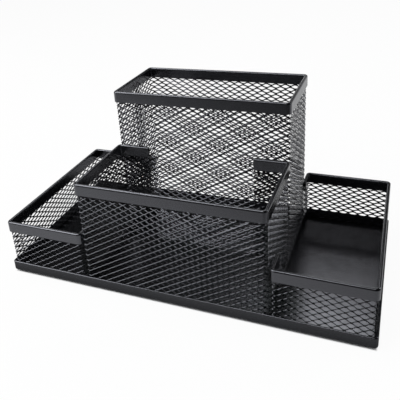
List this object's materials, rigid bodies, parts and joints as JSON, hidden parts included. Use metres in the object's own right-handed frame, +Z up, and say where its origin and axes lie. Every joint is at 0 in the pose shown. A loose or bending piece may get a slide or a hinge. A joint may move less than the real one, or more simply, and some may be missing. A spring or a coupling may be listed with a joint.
{
  "type": "mesh desk organizer",
  "caption": "Black expanded-metal desk organizer: a tall rear cup for pens, a half-height front box and a shallow tray on each side, all on one steel base pan.",
  "frame": {"origin": "on the desk surface, under the middle of the base pan", "axes": "+X to the right along the long side, +Y from the front box towards the tall cup at the back, +Z up"},
  "size_m": [0.205, 0.105, 0.0985],
  "materials": {
    "satin_black_coat": "satin black powder coat on sheet steel",
    "black_mesh_coat": "satin black powder coat on expanded steel",
    "black_rubber": "matt black rubber"
  },
  "bodies": {
    "root": {"base_pan": "satin_black_coat", "centre_strip_left": "satin_black_coat", "centre_strip_right": "satin_black_coat", "cup_wall_front": "black_mesh_coat", "cup_wall_right": "black_mesh_coat", "cup_wall_rear": "black_mesh_coat", "cup_wall_left": "black_mesh_coat", "box_wall_front": "black_mesh_coat", "box_wall_right": "black_mesh_coat", "box_wall_left": "black_mesh_coat", "box_end_right": "black_mesh_coat", "box_end_left": "black_mesh_coat", "right_tray_wall_front": "black_mesh_coat", "right_tray_wall_side": "black_mesh_coat", "right_tray_wall_rear": "black_mesh_coat", "right_tray_end_front": "black_mesh_coat", "right_tray_end_rear": "black_mesh_coat", "left_tray_wall_front": "black_mesh_coat", "left_tray_wall_side": "black_mesh_coat", "left_tray_wall_rear": "black_mesh_coat", "left_tray_end_front": "black_mesh_coat", "left_tray_end_rear": "black_mesh_coat", "cup_rim": "satin_black_coat", "box_rim": "satin_black_coat", "right_tray_rim": "satin_black_coat", "left_tray_rim": "satin_black_coat", "foot_front_left": "black_rubber", "foot_front_right": "black_rubber", "foot_rear_left": "black_rubber", "foot_rear_right": "black_rubber"}
  },
  "joints": []
}
